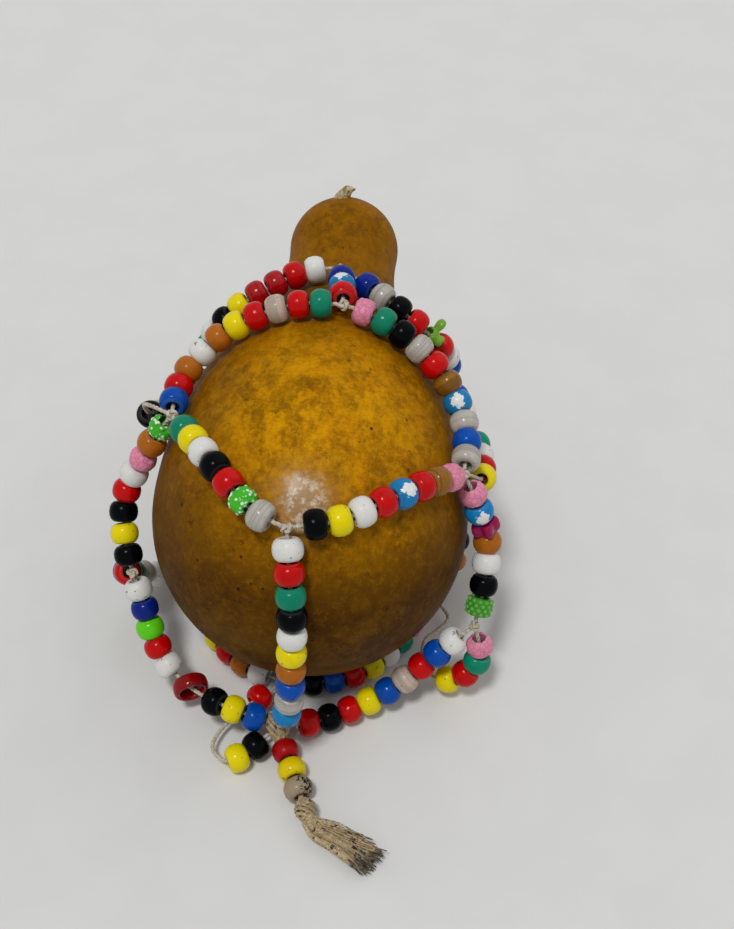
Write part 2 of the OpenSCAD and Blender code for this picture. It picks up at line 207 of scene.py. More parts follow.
def grow(name, source, tree, values, mat):  # runs a node tree on a base object, keeps the plain mesh
    mod = source.modifiers.new("grow", "NODES")
    mod.node_group = tree
    known = {s.name: s.identifier for s in tree.interface.items_tree if s.in_out == "INPUT"}
    for key, value in {**values, "Finish": mat}.items():
        mod[known[key]] = value
    bpy.context.view_layer.update()
    ready = source.evaluated_get(bpy.context.evaluated_depsgraph_get())
    mesh = bpy.data.meshes.new_from_object(ready)
    bpy.data.batch_remove((source, source.data))
    mesh.name = name
    return addPiece(name, mesh, mat)


def shellOf(bm, rows, closed):  # faces between rings of points, round again or with an end on each side
    verts = [[bm.verts.new(p) for p in row] for row in rows]
    n = len(verts[0])
    for a, b in zip(verts, verts[1:] + ([verts[0]] if closed else [])):
        for k in range(n):
            bm.faces.new((a[k], a[(k + 1) % n], b[(k + 1) % n], b[k]))
    if not closed:
        bm.faces.new(list(reversed(verts[0])))
        bm.faces.new(verts[-1])
    return bm


def circle(n):  # the angles of one turn
    return [fullTurn * k / n for k in range(n)]


def meshOf(name, bm):  # faces outward and smooth, millimetres made metres
    bmesh.ops.recalc_face_normals(bm, faces=bm.faces)
    for face in bm.faces:
        face.smooth = True
    bmesh.ops.scale(bm, vec=(mm, mm, mm), verts=bm.verts)
    mesh = bpy.data.meshes.new(name)
    bm.to_mesh(mesh)
    bm.free()
    return mesh


# camera and studio
view = {"azimuth": 5.2, "elevation": 48.0, "position": (0.04174, -0.26148, 0.36825), "lens": 50.38,
        "near": 0.01}
studio = {"floor": (225, 225, 223), "floorReach": 4.0, "floorDrop": 0.0002, "floorRoughness": 0.9,
          "keyFrom": (-0.14, -0.3, 0.95), "keyPower": 1.4, "keySpread": 11.0,
          "fillFrom": (0.5, 0.4, 0.8), "fillPower": 0.35, "fillSpread": 60.0,
          "sky": (0.99, 0.995, 1.0, 1.0), "ambient": 0.36, "backdrop": 0.63}


def addCamera():
    az, el = radians(view["azimuth"]), radians(view["elevation"])
    cam = bpy.data.cameras.new("photoCamera")
    cam.lens = view["lens"]
    cam.clip_start = view["near"]
    eye = addObject("photoCamera", cam)
    ahead = Vector((-sin(az) * cos(el), cos(az) * cos(el), -sin(el)))
    turn = ahead.to_track_quat("-Z", "Y").to_matrix().to_4x4()
    eye.matrix_world = Matrix.Translation(view["position"]) @ turn
    scene.camera = eye


def addFloor():
    bm = bmesh.new()
    bmesh.ops.create_grid(bm, x_segments=2, y_segments=2, size=studio["floorReach"])
    mesh = bpy.data.meshes.new("floor")
    bm.to_mesh(mesh)
    bm.free()
    f = Finish("paleFloor", studio["floor"],
               **{"Roughness": studio["floorRoughness"], "Specular IOR Level": 0.0})
    f.paint(f.rise(f.grain(30.0), 0.4, 0.6), [c - 2 for c in studio["floor"]])
    f.feed("Base Color", f.base)
    floor = addPiece("floor", mesh, f.mat)
    floor.location.z = -studio["floorDrop"]


def addLight():
    for kind in ("key", "fill"):
        lamp = bpy.data.lights.new(kind + "Light", "SUN")
        lamp.energy = studio[kind + "Power"]
        lamp.angle = radians(studio[kind + "Spread"])
        rig = addObject(kind + "Light", lamp)
        rig.location = studio[kind + "From"]
        rig.rotation_euler = Vector(studio[kind + "From"]).to_track_quat("Z", "Y").to_euler()
    world = bpy.data.worlds.new("studio")
    world.use_nodes = True
    sky = Kit(world.node_tree)
    seen, mirrored, through = (sky.node("ShaderNodeLightPath", {}, {}, "Is %s Ray" % ray)
                               for ray in ("Camera", "Glossy", "Transmission"))
    shown = seen.most(mirrored).most(through)  # the pale backdrop is only seen, the ambient light stays low
    strength = shown * (studio["backdrop"] - studio["ambient"]) + studio["ambient"]
    back = sky.tree.nodes["Background"]
    back.inputs["Color"].default_value = studio["sky"]
    sky.tree.links.new(strength.out, back.inputs["Strength"])
    scene.world = world
    scene.view_settings.view_transform = "Standard"


addCamera()
addFloor()
addLight()
print("studio ready")


# gourd: a pear outline of tangent arcs, turned about an axis that rises to the neck
gourd = {"bellyRadius": 50.0, "shoulderRadius": 118.0, "waistRadius": 60.0, "neckRadius": 19.5,
         "neckReach": 108.0, "lean": 12.0, "scarRadius": 4.6, "stemTilt": 48.0,
         "segments": 160, "bellyRings": 40, "sideRings": 60, "neckRings": 20,
         "dent": 0.35, "dentScale": 0.03, "ripple": 0.12, "rippleScale": 0.12, "evenEnds": 12.0,
         # the second spot below centres a painted highlight, the key lamp's glare on the belly
         "ripeSpot": (8.0, 6.0, 0.0), "glareSpot": (3.0, -19.0, 0.0),
         "colours": {
             # the first two colours are painted shade and painted light: the gourd's underside and its lit
             # top
             "shaded": (66, 36, 1), "sunny": (142, 90, 1), "ripe": (200, 134, 1), "golden": (226, 162, 2),
             "streak": (110, 70, 2), "blotch": (100, 64, 2), "smudge": (80, 52, 3), "fine": (84, 54, 2),
             "glint": (236, 172, 6), "cloud": (88, 56, 2), "pit": (36, 22, 3), "seam": (214, 156, 16),
             # the last three colours paint that glare: a tan halo, a grey core and white flecks
             "glareTan": (172, 122, 52), "dull": (176, 156, 128), "bare": (226, 216, 200)}}

lean = radians(gourd["lean"])
gourdCentre = Vector((0, 0, gourd["bellyRadius"]))
gourdAxis = Vector((0, cos(lean), sin(lean)))
gourdTop = Vector((0, -sin(lean), cos(lean)))
shoulderC = Vector((gourd["bellyRadius"] - gourd["shoulderRadius"], 0))
neckC = Vector((0, gourd["neckReach"]))
wideReach = gourd["shoulderRadius"] + gourd["waistRadius"]
slimReach = gourd["neckRadius"] + gourd["waistRadius"]


def arcsMeet(a, ra, b, rb):
    d = (b - a).length
    e = (b - a) / d
    reach = (ra * ra - rb * rb + d * d) / (2 * d)
    return a + reach * e + sqrt(ra * ra - reach * reach) * Vector((e.y, -e.x))


waistC = arcsMeet(shoulderC, wideReach, neckC, slimReach)


def skin(s, proud):  # the gourd's radius at s along its axis, and proud of it
    belly, shoulder = gourd["bellyRadius"] + proud, gourd["shoulderRadius"] + proud
    neck, waist = gourd["neckRadius"] + proud, gourd["waistRadius"] - proud
    if s < 0:
        return sqrt(max(0, belly ** 2 - s * s))
    if s < (shoulderC + (waistC - shoulderC) * shoulder / wideReach).y:
        return shoulderC.x + sqrt(shoulder ** 2 - s * s)
    if s < (neckC + (waistC - neckC) * neck / slimReach).y:
        return waistC.x - sqrt(waist ** 2 - (s - waistC.y) ** 2)
    return sqrt(max(0, neck ** 2 - (s - neckC.y) ** 2))


def aroundGourd(turn, s, r):
    return gourdCentre + gourdAxis * s + r * (gourdTop * cos(turn) + Vector((sin(turn), 0, 0)))


def onGourd(turn, s, proud):
    return aroundGourd(radians(turn), s, skin(s, proud))


def alongGourd(f):  # places turned so that y runs along the gourd
    return f.node("ShaderNodeMapping", {}, {"Vector": f.place, "Rotation": (-lean, 0, 0)})


def gourdFinish():
    hue = gourd["colours"]
    f = Finish("varnishedGourd", hue["shaded"],
               **{"Coat Roughness": 0.22, "Coat IOR": 1.4, "Specular IOR Level": 0.04})
    upright = alongGourd(f)
    y, z = f.split(f.place)[1:]
    wide = f.grain(19.0, 6.0, 0.6, upright, 0.3)
    patchy = f.grain(34.0, 9.0, 0.72, upright, 0.2)
    blotch = f.grain(56.0, 9.0, 0.76, upright, 0.25)
    smudge = f.grain(125.0, 7.0, 0.74, upright, 0.2)
    streak = f.grain(130.0, 6.0, 0.7, f.vec("MULTIPLY", upright, (1.0, 0.35, 1.0)), 0.3)
    fine = f.grain(400.0, 6.0, 0.8)
    sunny = f.rise(z + y * 0.28 + wide * 0.02, 0.05, 0.115)  # painted shade and light: darker towards the underside, lighter on top, as the overhead key falls
    f.paint(sunny, hue["sunny"])
    ripe = f.vec("DISTANCE", f.place, tuple(onGourd(*gourd["ripeSpot"]) * mm), 1)
    ripe = f.rise(ripe + patchy * 0.06, 0.088, 0.04)
    f.paint(ripe * 0.9, hue["ripe"])
    layers = ((patchy, 0.47, 0.6, ripe * 0.5 + 0.08, "golden"), (streak, 0.48, 0.62, 0.34, "streak"),
              (blotch, 0.49, 0.6, 0.5, "blotch"), (smudge, 0.5, 0.62, 0.36, "smudge"),
              (fine, 0.5, 0.6, 0.26, "fine"), (fine, 0.49, 0.4, ripe * 0.22 + 0.05, "glint"),
              (wide, 0.5, 0.66, 0.42, "cloud"))
    for mask, low, high, amount, colour in layers:
        f.paint(f.rise(mask, low, high) * amount, hue[colour])
    fleck = f.rise(f.grain(310.0, 5.0, 0.7, upright), 0.61, 0.66)
    fleck = fleck * f.rise(f.grain(42.0, 4.0, 0.6, upright), 0.52, 0.6)
    pits = f.rise(f.cells(210.0), 0.14, 0.08) * f.rise(f.grain(26.0), 0.55, 0.62)
    f.paint(pits.most(fleck * 0.7) * 0.85, hue["pit"])
    line = f.split(upright)[0] + f.grain(70.0) * 0.006 + 0.006  # a faint pale seam on the shoulder
    seam = f.rise(line.size(), 0.0019, 0.0003) * f.rise(y, 0.022, 0.036) * f.rise(y, 0.062, 0.05)
    f.paint(seam * 0.35, hue["seam"])
    gap = f.vec("DISTANCE", f.place, tuple(onGourd(*gourd["glareSpot"]) * mm), 1)
    glareHalo = f.rise(gap + f.grain(110.0) * 0.012, 0.022, 0.008)  # painted highlight: the key lamp's glare on the varnish, broken up by scratches
    highlightMask = f.rise(gap + f.grain(190.0) * 0.008, 0.0145, 0.006)
    f.paint(glareHalo * 0.6, hue["glareTan"])
    f.paint(highlightMask * 0.4, hue["dull"])
    f.paint(highlightMask * f.rise(f.grain(430.0, 5.0, 0.75), 0.45, 0.6) * 0.75, hue["bare"])
    f.feed("Coat Weight", f.rise(wide, 0.3, 0.6) * 0.02 + 0.01 + highlightMask * 0.3)
    height = wide * 0.4 + blotch * 0.3 + fine * 0.16 - smudge * 0.15 - pits * 0.4
    return f.done(0.44 + blotch * 0.2 - glareHalo * 0.2, height, 0.0008, 0.8)


def gourdRings():  # place along the axis, and radius
    belly, neck, reach = gourd["bellyRadius"], gourd["neckRadius"], gourd["neckReach"]
    for i in range(1, gourd["bellyRings"] + 1):
        a = radians(90 * i / gourd["bellyRings"])
        yield -belly * cos(a), belly * sin(a)
    for i in range(1, gourd["sideRings"] + 1):
        s = reach * i / gourd["sideRings"]
        yield s, skin(s, 0)
    for i in range(1, gourd["neckRings"]):
        a = radians(90 * i / gourd["neckRings"])
        yield reach + neck * sin(a), neck * cos(a)


def makeGourd():
    rows = []
    for s, r in gourdRings():
        row = []
        for turn in circle(gourd["segments"]):
            p = aroundGourd(turn, s, r)
            out = (p - gourdCentre - gourdAxis * min(s, gourd["neckReach"])).normalized()
            sink = gourd["dent"] * (0.5 + 0.5 * noise.noise(p * gourd["dentScale"]))
            sink += gourd["ripple"] * (0.5 + 0.5 * noise.noise(p * gourd["rippleScale"]))
            row.append(p - out * sink * min(1.0, r / gourd["evenEnds"]))
        rows.append(row)
    mesh = meshOf("gourd", shellOf(bmesh.new(), rows, False))
    settle(addPiece("gourd", mesh, gourdFinish()), "gourd", "shell", "gourd_shell")


makeGourd()
print("gourd turned")


# the bead net: the same routes as the solids, in millimetres
netSizes = {"beadDiameter": 9.2, "beadLength": 5.9, "beadPlay": 1.0, "shellGap": 0.4, "knotRadius": 2.0,
            "gatherRadius": 4.4, "knotPlay": 0.3, "knotBite": 0.4, "splineSteps": 6}
beadRadius = netSizes["beadDiameter"] / 2
beadPitch = netSizes["beadLength"] + netSizes["beadPlay"]
knotR, gatherR = netSizes["knotRadius"], netSizes["gatherRadius"]


def over(turn, s):
    return onGourd(turn, s, beadRadius + netSizes["shellGap"])


def lying(x, y):
    return Vector((x, y, beadRadius))


# crossings, from the collar to the gathering knot
collarTop = over(6, 77)
collarRight = over(95, 60)
collarLeft = over(-95, 60)
collarBelow = over(180, 64)
row1Top = over(9, 52)
row1Right = over(95, 36)
row1Left = over(-95, 36)
row1Below = lying(0, 46)
row2Left = over(-50, 13)
row2Right = over(59, 3)
row2BelowRight = lying(38, 8)
row2BelowLeft = lying(-38, 8)
row3Top = over(-1, -28.5)
row3Right = Vector((54, -24, 31))
row3Left = Vector((-54.8, -19.4, 39.6))
row3Below = lying(-6, -33)
gather = Vector((-6, -50.5, 6.5))

# for each twine: control points, bead colours in order (_ leaves a place free), bare twine at both ends
strands = {
    "collar": [
        ([collarTop, over(28, 64), over(49, 56), over(75, 57), collarRight], "NHBR_RWC", 4.6, 0),
        ([collarRight, over(120, 63), over(150, 66), collarBelow], "CYWAPBT", 0, 0),
        ([collarBelow, over(210, 66), over(240, 63), collarLeft], "YSNWRBH", 0, 0),
        ([collarLeft, over(-75, 57), over(-55, 60), over(-35, 68), over(-15, 75), collarTop],
            "PSWBYDDRW", 0, 2),
    ],
    "upper": [
        ([row1Top, collarTop], "RTN", 0, 2),
        ([row1Right, collarRight], "WC", 3, 3),
        ([row1Left, collarLeft], "RS", 3, 3),
        ([row1Below, [0, 60, 15], collarBelow], "WNAR", 0, 0),
        ([row1Top, over(-7, 51), over(-23, 48), over(-39, 43), over(-51, 35), over(-54, 25), row2Left],
            "SRERYAWARC", 0, 0),
        ([row1Top, over(28, 47.5), over(47, 39), over(58.5, 30), over(62, 18), row2Right],
            "PSBHROTHCH", 0, 0),
        ([row1Left, over(-84, 33), over(-70, 22) + Vector((-2, 0, 1)),
            over(-59.5, 17.8) + Vector((-5.2, 0, 4.2)), row2Left], "RYHB", 0, 15),
        ([row1Right, over(89, 31), over(78.5, 12.5), row2Right], "SWRY", 0, 12),
        ([row1Right, over(108, 33), over(120, 28), [47, 18, 13], row2BelowRight], "CRWYSBA", 0, 7),
        ([row1Left, over(-108, 33), over(-120, 28), [-47, 18, 13], row2BelowLeft], "YBRHWCS", 0, 7),
        ([row1Below, lying(22, 39), lying(34, 26), row2BelowRight], "RYBWCPS", 0, 0),
        ([row1Below, lying(-22, 39), lying(-34, 26), row2BelowLeft], "WSRNAYB", 0, 0),
    ],
    "middle": [
        ([row2Left, over(-36, 0), over(-25, -12), over(-13, -24), row3Top], "SYWBRFH", 5, 0),
        ([row3Top, over(16, -25), over(28, -18), over(42, -8), row2Right], "BYWRTROP", 0, 0),
        ([row2Left, over(-65.5, 7.5), [-57.9, -1.5, 58.5], [-58, -10.5, 49.3], row3Left],
            "FAPWRBYB", 0, 0),
        ([row2Right, over(73, -2), [56, -6, 53], [56, -15, 42], row3Right], "PT_AWB_", 1, 0),
        ([row3Right, [56.2, -26.5, 23.5], [55.5, -28, 16.5], [51.5, -29, 10.5], [45.5, -28.5, 6.5],
            lying(39.5, -24.5), lying(38.5, -13), lying(46, -3), row2BelowRight], "PSRY", 1, 41),
        ([row3Left, [-60, -11, 29], [-61, -1, 15], lying(-52, 7), row2BelowLeft], "RCYSHW", 1, 12),
        ([row3Below, lying(6, -32), lying(20, -25.5), lying(31, -12), row2BelowRight], "BCRYWSPAR", 0, 0),
        ([row3Below, lying(-20, -27.5), lying(-33, -14), row2BelowLeft], "WARYCBP", 3, 0),
    ],
    "lower": [
        ([row3Top, over(1, -40), over(3, -47), over(4, -52), [0, -58, 34], [-3, -57, 19], gather],
            "WRSBWYACHT", 0, 15),
        ([row3Left, [-51.6, -24, 31], [-48.6, -29.5, 21.3], [-42.6, -36.2, 13.4], [-32.6, -43.4, 10.9],
            [-20.5, -49.3, 12.5], gather], "WNGRW__BYC", 0, 0),
        ([row3Right, [47, -27, 25.5], [39, -30.5, 17.5], [29, -36, 10], [18, -41, 5.5], [6, -47, 5],
            gather], "WCRECYRBR", 1, 0),
        ([row3Below, lying(-15.3, -41.8), lying(-22, -50), lying(-26, -57.5), lying(-21.5, -63.5),
            lying(-14.5, -60), gather], "R____YB", 4, 1),
    ],
}


def cleared(p):  # clear of the shell and of the floor
    q = p - gourdCentre
    s = q.dot(gourdAxis)
    reach = math.hypot(q.x, q.dot(gourdTop))
    need = skin(s, beadRadius + netSizes["shellGap"])
    out = p + (need / reach - 1) * (q - s * gourdAxis) if reach < need else p
    return Vector((out.x, out.y, max(out.z, beadRadius)))


def splinePoint(a, b, c, d, t):
    bent, twisted = 2 * a - 5 * b + 4 * c - d, 3 * b - a - 3 * c + d
    return 0.5 * (2 * b + (c - a) * t + bent * t * t + twisted * t ** 3)


def smoothPath(points, steps=8):
    p = [Vector(q) for q in points]
    p = [2 * p[0] - p[1]] + p + [2 * p[-1] - p[-2]]
    made = [splinePoint(*p[i:i + 4], k / steps) for i in range(len(p) - 3) for k in range(steps)]
    return made + [p[-2]]


class Thread:
    def __init__(self, farKnot, points, letters, bareStart, bareEnd):
        self.path = [cleared(p) for p in smoothPath(points, netSizes["splineSteps"])]
        self.letters = letters
        self.run = [0.0]
        for a, b in zip(self.path, self.path[1:]):
            self.run.append(self.run[-1] + (b - a).length)
        lead = knotR + netSizes["knotPlay"] + bareStart
        room = self.run[-1] - lead - (farKnot + netSizes["knotPlay"] + bareEnd)
        self.count = math.floor(room / beadPitch)
        self.first = lead + (room - self.count * beadPitch) / 2
        self.start = knotR - netSizes["knotBite"]
        self.end = self.run[-1] - farKnot + netSizes["knotBite"]

    def at(self, d):
        i = 0
        while i < len(self.run) - 2 and self.run[i + 1] < d:
            i += 1
        t = (d - self.run[i]) / max(0.001, self.run[i + 1] - self.run[i])
        return self.path[i] + (self.path[i + 1] - self.path[i]) * t

    def bead(self, i):
        d = self.first + i * beadPitch
        return self.at(d + beadPitch / 2), (self.at(d + beadPitch) - self.at(d)).normalized()

    def bareRun(self, a, b):
        n = math.ceil((b - a) / beadPitch)
        return [self.at(a + (b - a) * i / n) for i in range(n)]

    def twine(self):
        lastGap = self.first + self.count * beadPitch
        return (self.bareRun(self.start, self.first)
                + [self.at(self.first + i * beadPitch) for i in range(self.count)]
                + self.bareRun(lastGap, self.end) + [self.at(self.end)])


threads, beadPlaces = {}, {}
for group, rows in strands.items():
    threads[group] = [Thread(gatherR if group == "lower" else knotR, *row) for row in rows]
    for thread in threads[group]:
        for i in range(thread.count):
            letter = thread.letters[i % len(thread.letters)]
            beadPlaces.setdefault(letter, []).append(thread.bead(i))
print("net laid out:", sum(len(v) for v in beadPlaces.values()), "bead places")


# pony beads: a rounded ring, set on every place of its colour
ponySizes = {"Outer Diameter": 0.0092, "Bore": 0.0036, "Length": 0.0067, "Roundness": 0.94, "Rim": 0.0005,
             "Segments": 25, "Rounds": 17, "Lumps": 0.0, "Lump Scale": 700.0, "Size Spread": 0.03, "Seed": 3}


def store(kit, geometry, name, value, kind="FLOAT", domain="POINT"):
    return kit.node("GeometryNodeStoreNamedAttribute", {"data_type": kind, "domain": domain},
                    {0: geometry, "Name": name, "Value": value})


def chance(kit, low, high, seed):
    return kit.node("FunctionNodeRandomValue", {"data_type": "FLOAT"}, {2: low, 3: high, "Seed": seed}, 1)


def onPoints(kit, given, shape, more):
    return kit.node("GeometryNodeInstanceOnPoints", {},
                    {"Points": given["Geometry"], "Instance": shape, **more})


def beadAxis(kit):
    axis = kit.node("GeometryNodeInputNamedAttribute", {"data_type": "FLOAT_VECTOR"}, {"Name": "beadAxis"})
    return kit.node("FunctionNodeAlignRotationToVector", {"axis": "Z"}, {"Vector": axis})


def beadTree():
    kit, given = newTree("ponyBead", ponySizes)
    flat = kit.node("GeometryNodeMeshGrid", {}, {
        "Size X": 1.0, "Size Y": 1.0, "Vertices X": given["Segments"], "Vertices Y": given["Rounds"]})
    place = kit.node("GeometryNodeInputPosition")
    u, v = (part * fullTurn for part in kit.split(place)[:2])
    side = v.cos().sign() * v.cos().size() ** given["Roundness"]
    lift = v.sin().sign() * v.sin().size() ** given["Roundness"]
    edge = given["Bore"] / 2.0 + given["Rim"]  # the end rim, close to the bore
    outward, inward = side.most(0.0), (0.0 - side).most(0.0)
    radius = edge + outward * (given["Outer Diameter"] / 2.0 - edge) - inward * given["Rim"]
    shaped = kit.join(radius * u.cos(), radius * u.sin(), lift * (given["Length"] / 2.0))
    ring = kit.node("GeometryNodeSetPosition", {}, {0: flat, "Position": shaped})
    ring = kit.node("GeometryNodeMergeByDistance", {}, {0: ring, "Distance": 0.000002})
    ring = store(kit, ring, "beadPlace", place, "FLOAT_VECTOR")
    cell = kit.node("ShaderNodeTexVoronoi", {}, {"Vector": place, "Scale": given["Lump Scale"]})
    push = kit.node("ShaderNodeVectorMath", {"operation": "SCALE"},
                    {0: kit.node("GeometryNodeInputNormal"), "Scale": given["Lumps"] * (0.0 - cell)})
    ring = kit.node("GeometryNodeSetPosition", {}, {0: ring, "Offset": push})
    # turns each bead's local x toward the camera, where the painted highlight patch goes
    turn = kit.node("FunctionNodeAlignRotationToVector", {"axis": "X", "pivot_axis": "Z"},
                    {"Rotation": beadAxis(kit), "Vector": towardCamera})
    sizes = chance(kit, 1.0 - given["Size Spread"], 1.0, given["Seed"])
    tone = chance(kit, 0.0, 1.0, given["Seed"] + 7.0)
    beads = onPoints(kit, given, ring, {"Rotation": turn, "Scale": sizes})
    return endTree(kit, given, store(kit, beads, "beadTone", tone, domain="INSTANCE"))


def plastic(name, colour, dark=0.75, specks=0.0, milky=0.0, clear=0.0, rough=0.16, patch=None, dots=None,
            crease=0.0, grit=0.0, gloss=0.16):
    f = Finish(name, colour, **{"Specular IOR Level": gloss, "IOR": 1.5, "Subsurface Weight": milky,
                                "Subsurface Scale": 0.002, "Transmission Weight": clear})
    shade = lambda k: [c * k for c in colour]
    tone = f.attr("beadTone", 2)
    local = f.attr("beadPlace", 1)
    lx, ly, lz = f.split(local)
    swirl = f.grain(260.0, 3.0, 0.5, None, 0.8)
    f.paint(f.rise(swirl, 0.3, 0.75) * 0.35, shade(dark))
    f.paint(tone * 0.28, shade(dark))
    rim = f.rise(lz.size(), 0.0028, 0.0032)  # worn paler on the end rims
    f.paint(rim * 0.22, [c + (255 - c) * 0.35 for c in colour])
    across = f.vec("LENGTH", f.join(lx, ly, 0.0), (0, 0, 0), 1)
    f.paint(f.rise(across, 0.0023, 0.0018) * 0.6, shade(0.35))  # darker inside the bore
    fine = f.grain(1500.0, 3.0, 0.6)
    if clear:  # turns of paler and darker plastic show through
        turns = f.grain(750.0, 3.0, 0.6, f.join(tone * 0.02, 0.0, lz + swirl * 0.0006))
        f.paint(f.rise(turns, 0.46, 0.6) * 0.5, shade(dark * dark))
    if crease:
        fold = f.cells(crease, local, "DISTANCE_TO_EDGE") + f.grain(1300.0, 2.0, 0.5, local) * 0.06 - 0.03
        f.paint(f.rise(fold, 0.1, 0.03) * 0.5, shade(0.7))
    if dots:
        f.paint(f.rise(f.cells(dots[0], local), 0.42, 0.24), dots[1])
    if patch:  # painted highlight: a white patch on the side turned up toward the camera, only on the upper beads
        edge = f.grain(700.0, 3.0, 0.6, local) * 0.0042
        highlightMask = f.rise(f.vec("LENGTH", f.join(0.0, ly, lz * 0.8), (0, 0, 0), 1) + edge, 0.0041, 0.0038)
        f.paint(highlightMask * (lx > 0.002) * (f.split(f.place)[2] > 0.045), patch)
    if specks:
        f.paint(f.rise(f.grain(620.0, 2.0, 0.5), 0.68, 0.71) * specks, (40, 34, 28))
    if grit:
        f.paint(f.rise(f.grain(980.0, 4.0, 0.7, local) - ly * grit, 0.6, 0.64), (22, 17, 14))
    return f.done(fine * 0.16 + rough - 0.06 + rim * 0.12, fine * 0.4 + swirl, 0.00012, 0.5)


beadColours = {
    "R": ("red", dict(colour=(210, 4, 4), dark=0.76)),
    "D": ("dark_red", dict(colour=(208, 10, 24), dark=0.76, clear=0.25, milky=0.1)),
    "W": ("white", dict(colour=(232, 231, 226), dark=0.9, specks=0.75, rough=0.26)),
    "Y": ("yellow", dict(colour=(242, 222, 0), dark=0.9, specks=0.5)),
    "B": ("black", dict(colour=(5, 7, 10), dark=0.6, gloss=0.05)),
    "C": ("cobalt", dict(colour=(0, 80, 182), dark=0.74)),
    "N": ("navy", dict(colour=(4, 38, 140), dark=0.7)),
    # the turquoise beads carry a painted highlight patch
    "T": ("turquoise", dict(colour=(20, 132, 196), dark=0.78, patch=(232, 232, 230))),
    "S": ("sea_green", dict(colour=(6, 140, 106), dark=0.78)),
    "G": ("lime", dict(colour=(104, 222, 26), dark=0.8)),
    "A": ("caramel", dict(colour=(186, 106, 20), milky=0.15)),
    "O": ("brown", dict(colour=(182, 122, 28), dark=0.76, clear=0.3, milky=0.1)),
    "P": ("pink", dict(colour=(240, 146, 176), dark=0.88, crease=620.0, rough=0.3)),
    "H": ("pearl", dict(colour=(224, 218, 208), dark=0.84, milky=0.2, clear=0.35, rough=0.18)),
    "E": ("peach", dict(colour=(226, 206, 190), dark=0.86, milky=0.3, specks=0.6, clear=0.2)),
    "F": ("glitter", dict(colour=(70, 198, 44), dark=0.72, dots=(620.0, (226, 246, 220)), rough=0.15)),
}
lumpyBeads = {"P": {"Lumps": 0.0005, "Lump Scale": 620.0, "Segments": 49, "Rounds": 33},
              "F": {"Lumps": 0.0011, "Lump Scale": 620.0, "Segments": 57, "Rounds": 37}}


def pointCloud(name, places):
    mesh = bpy.data.meshes.new(name)
    mesh.from_pydata([c * mm for c, a in places], [], [])
    axes = mesh.attributes.new("beadAxis", "FLOAT_VECTOR", "POINT")
    for i, (c, a) in enumerate(places):
        axes.data[i].vector = a
    return addObject(name, mesh)


def strew(name, places, tree, values, mat, *where):
    settle(grow(name, pointCloud(name, places), tree, values, mat), *where)


ponyBead = beadTree()
for order, (letter, (slot, look)) in enumerate(beadColours.items()):
    words = slot.split("_")
    colourName = words[0] + "".join(word.capitalize() for word in words[1:])
    piece = colourName + "Beads"
    values = {"Seed": 11 + order, **lumpyBeads.get(letter, {})}
    mat = plastic(colourName + "Plastic", **look)
    strew(piece, beadPlaces[letter], ponyBead, values, mat, "net", slot, slot + "_beads")
print("beads strung")


# twine: three plies laid together along each route
twineSizes = {"Diameter": 1.5 * mm, "Turns Per Metre": 210.0, "Step": 0.7 * mm, "Plies": 3, "Sides": 12}


def twineTree():
    kit, given = newTree("twistedTwine", twineSizes)
    path = kit.node("GeometryNodeResampleCurve", {"mode": "LENGTH"},
                    {0: given["Geometry"], "Length": given["Step"]})
    tilt = kit.node("GeometryNodeSplineParameter", {}, {}, "Length") * given["Turns Per Metre"] * fullTurn
    path = store(kit, path, "strandShare", kit.node("GeometryNodeSplineParameter", {}, {}, "Factor"))
    path = kit.node("GeometryNodeSetCurveTilt", {}, {0: path, "Tilt": tilt})
    disc = kit.node("GeometryNodeCurvePrimitiveCircle", {}, {"Resolution": given["Sides"], "Radius": 1.0})
    x, y = kit.split(kit.node("GeometryNodeInputPosition"))[:2]
    angle = kit.node("ShaderNodeMath", {"operation": "ARCTAN2"}, {0: y, 1: x})
    lobe = ((angle * given["Plies"]).cos() * 0.16 + 0.84) * (given["Diameter"] / 2.0)
    disc = kit.node("GeometryNodeSetPosition", {}, {0: disc, "Position": kit.join(x * lobe, y * lobe, 0.0)})
    cord = kit.node("GeometryNodeCurveToMesh", {}, {0: path, 1: disc, "Fill Caps": True})
    return endTree(kit, given, cord)


def fibre(name, pale, deep, specks=0.0, burnt=0.0):
    f = Finish(name, deep, **{"Sheen Weight": 0.25, "Sheen Roughness": 0.6, "Specular IOR Level": 0.15})
    hair = f.grain(1400.0, 4.0, 0.7, None, 0.6)
    f.paint(f.rise(hair, 0.35, 0.68), pale)
    f.paint(f.rise(f.grain(180.0, 4.0, 0.6), 0.5, 0.75) * 0.5, [c * 0.72 for c in deep])  # soiled
    if specks:
        f.paint(f.rise(f.grain(520.0, 2.0, 0.5), 0.6, 0.64) * specks, (28, 22, 18))
    if burnt:  # towards the tips
        share = f.attr("strandShare", 2)
        f.paint(f.rise(share + f.grain(420.0) * 0.5, 1.06, 1.26) * burnt, (30, 24, 20))
    return f.done(hair * 0.2 + 0.75, hair, 0.00025, 0.7)


def curveOf(name, routes):
    data = bpy.data.curves.new(name, "CURVE")
    data.dimensions = "3D"
    for route in routes:
        line = data.splines.new("POLY")
        line.points.add(len(route) - 1)
        for p, q in zip(line.points, route):
            p.co = (*(q * mm), 1.0)
    return addObject(name, data)


cotton = fibre("cottonTwine", pale=(226, 218, 200), deep=(186, 174, 150))
jute = fibre("juteTwine", pale=(206, 186, 146), deep=(154, 128, 90), specks=0.8)
twistedTwine = twineTree()


def layTwine(name, routes, sizes, mat, *where):
    settle(grow(name, curveOf(name, routes), twistedTwine, sizes, mat), *where)


for group, laid in threads.items():
    routes = [smoothPath(thread.twine()) for thread in laid]
    layTwine(group + "Twine", routes, {}, cotton, "net", "cotton", group + "_twine")
print("twine laid")


# knots: a tight three-loop hitch at every crossing
knotLook = {"reach": 1.0, "swell": 0.42, "waves": 0.8, "turns": 2, "loops": 3, "points": 60,
            "twine": {"Diameter": 1.3 * mm, "Step": 0.5 * mm}}


